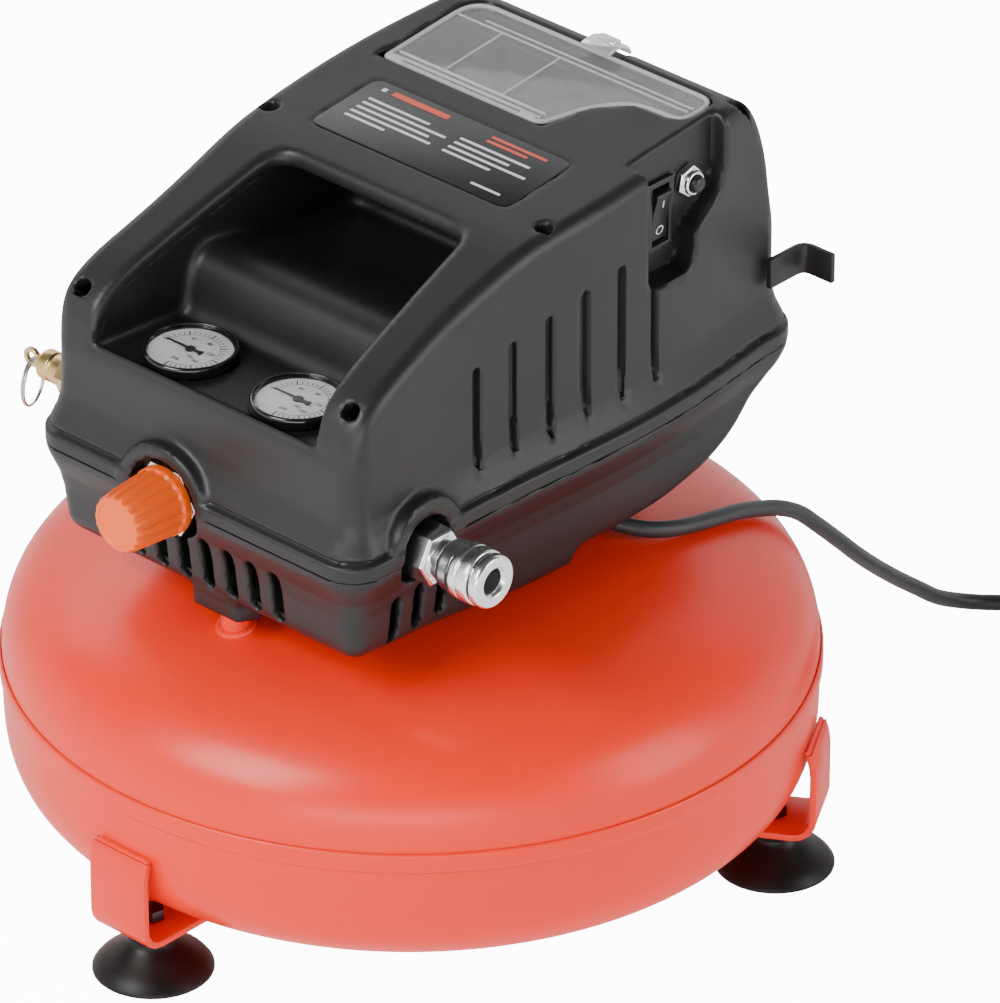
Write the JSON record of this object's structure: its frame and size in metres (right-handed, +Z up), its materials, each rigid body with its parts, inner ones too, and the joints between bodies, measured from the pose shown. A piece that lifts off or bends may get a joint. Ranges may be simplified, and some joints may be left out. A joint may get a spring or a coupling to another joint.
{
  "type": "air compressor",
  "caption": "Portable pancake air compressor with a flat orange tank on three suction feet, a moulded charcoal shroud, two dial gauges, a regulator knob and a quick coupler",
  "frame": {"origin": "on the floor, under the centre of the body's footprint: the middle of the width, and half-way from the front foot's rim to the rear of the tank", "axes": "+X to the machine's right, where the quick coupler and the power switch are; +Y to the rear, where the tray lid and the cord are; +Z up"},
  "size_m": [0.3687, 0.5217, 0.3258],
  "materials": {
    "tank_paint": "gloss",
    "shroud_plastic": "satin",
    "black_plastic": "satin",
    "gloss_black": "gloss",
    "smoky_clear": "translucent",
    "gauge_glass": "clear",
    "dial_face": "satin",
    "knob_plastic": "satin",
    "chrome": "polished",
    "brass": "polished",
    "plain_steel": "brushed",
    "dark_steel": "blackened",
    "cast_iron": "cast",
    "cast_aluminium": "cast",
    "rubber": "matte",
    "cord_jacket": "satin"
  },
  "bodies": {
    "compressor": {"tank_upper_half": "tank_paint", "tank_lower_half": "tank_paint", "drain_cock_body": "brass", "front_foot_bracket": "tank_paint", "front_foot_cup": "rubber", "front_foot_bolt": "dark_steel", "right_foot_bracket": "tank_paint", "right_foot_cup": "rubber", "right_foot_bolt": "dark_steel", "left_foot_bracket": "tank_paint", "left_foot_cup": "rubber", "left_foot_bolt": "dark_steel", "lower_shell": "shroud_plastic", "upper_shell": "shroud_plastic", "console_tub": "black_plastic", "cord_hook": "shroud_plastic", "left_front_shell_screw": "dark_steel", "left_middle_shell_screw": "dark_steel", "left_rear_shell_screw": "dark_steel", "right_front_shell_screw": "dark_steel", "right_middle_shell_screw": "dark_steel", "right_rear_shell_screw": "dark_steel", "storage_tray": "black_plastic", "rocker_frame": "black_plastic", "reset_nut": "chrome", "air_manifold": "brass", "pressure_switch": "black_plastic", "tank_gauge_case": "gloss_black", "tank_gauge_dial": "dial_face", "tank_gauge_lens": "gauge_glass", "outlet_gauge_case": "gloss_black", "outlet_gauge_dial": "dial_face", "outlet_gauge_lens": "gauge_glass", "regulator_body": "brass", "regulator_ring_nut": "chrome", "coupler_body": "chrome", "safety_valve_body": "brass", "motor_stator": "cast_iron", "cylinder": "cast_aluminium", "cylinder_head": "cast_aluminium", "discharge_tube": "plain_steel", "strain_relief": "rubber", "power_cord": "cord_jacket", "cord_coil": "cord_jacket", "coil_tie": "black_plastic", "power_plug": "rubber"},
    "rotor": {"motor_rotor": "plain_steel", "cooling_fan": "black_plastic"},
    "piston": {"wobble_piston": "cast_aluminium"},
    "knob": {"regulator_knob": "knob_plastic"},
    "sleeve": {"coupler_sleeve": "chrome"},
    "lid": {"tray_lid": "smoky_clear"},
    "latch": {"lid_latch": "smoky_clear"},
    "rocker": {"rocker_switch": "gloss_black"},
    "reset": {"reset_button": "black_plastic"},
    "tank_needle": {"tank_gauge_needle": "gloss_black"},
    "outlet_needle": {"outlet_gauge_needle": "gloss_black"},
    "valve_stem": {"safety_valve_stem": "brass"},
    "valve_ring": {"safety_valve_ring": "plain_steel"},
    "drain_handle": {"drain_cock_handle": "brass"}
  },
  "joints": [
    {"name": "motor_spin", "type": "hinge", "parent": "compressor", "child": "rotor", "pos_m": [0, 0.0045, 0.199], "axis": [0, 1, 0], "continuous": true},
    {"name": "rod_swing", "type": "hinge", "parent": "rotor", "child": "piston", "pos_m": [0, 0.0635, 0.194], "axis": [0, 1, 0], "continuous": true},
    {"name": "regulator_turn", "type": "hinge", "parent": "compressor", "child": "knob", "pos_m": [-0.0158, -0.1365, 0.2035], "axis": [0, -1, 0], "range_deg": [-720, 720]},
    {"name": "coupler_sleeve_pull", "type": "slide", "parent": "compressor", "child": "sleeve", "axis": [-1, 0, 0], "range_m": [0, 0.005], "stiffness_N_per_m": 1500, "springref_m": -0.002},
    {"name": "lid_hinge", "type": "hinge", "parent": "compressor", "child": "lid", "pos_m": [0, 0.0608, 0.31657], "axis": [1, 0, 0], "range_deg": [0, 110]},
    {"name": "latch_flex", "type": "hinge", "parent": "lid", "child": "latch", "pos_m": [0.004, 0.11252, 0.32414], "axis": [1, 0, 0], "range_deg": [0, 60], "stiffness_Nm_per_rad": 0.02, "springref_deg": -5.73},
    {"name": "power_rocker", "type": "hinge", "parent": "compressor", "child": "rocker", "pos_m": [0.0705, 0.0745, 0.288], "axis": [0, -1, 0], "range_deg": [0, 18.3]},
    {"name": "reset_press", "type": "slide", "parent": "compressor", "child": "reset", "axis": [-1, 0, 0], "range_m": [0, 0.0025], "stiffness_N_per_m": 400, "springref_m": -0.001},
    {"name": "tank_gauge_turn", "type": "hinge", "parent": "compressor", "child": "tank_needle", "pos_m": [-0.03, -0.0923, 0.2525], "axis": [0, 0, -1], "range_deg": [0, 270], "stiffness_Nm_per_rad": 0.00002, "springref_deg": -11.46},
    {"name": "outlet_gauge_turn", "type": "hinge", "parent": "compressor", "child": "outlet_needle", "pos_m": [0.03, -0.0923, 0.2525], "axis": [0, 0, -1], "range_deg": [0, 270], "stiffness_Nm_per_rad": 0.00002, "springref_deg": -11.46},
    {"name": "valve_pull", "type": "slide", "parent": "compressor", "child": "valve_stem", "axis": [-1, 0, 0], "range_m": [0, 0.003], "stiffness_N_per_m": 3000, "springref_m": -0.001},
    {"name": "valve_ring_swing", "type": "hinge", "parent": "valve_stem", "child": "valve_ring", "pos_m": [-0.126, -0.0875, 0.2125], "axis": [0, 1, 0], "range_deg": [-55, 90]},
    {"name": "drain_turn", "type": "hinge", "parent": "compressor", "child": "drain_handle", "pos_m": [0, 0.0045, 0.012], "axis": [0, 0, 1], "range_deg": [0, 360]}
  ],
  "couplings": [
    {"joint": "rod_swing", "follows": "motor_spin", "ratio": -1}
  ]
}
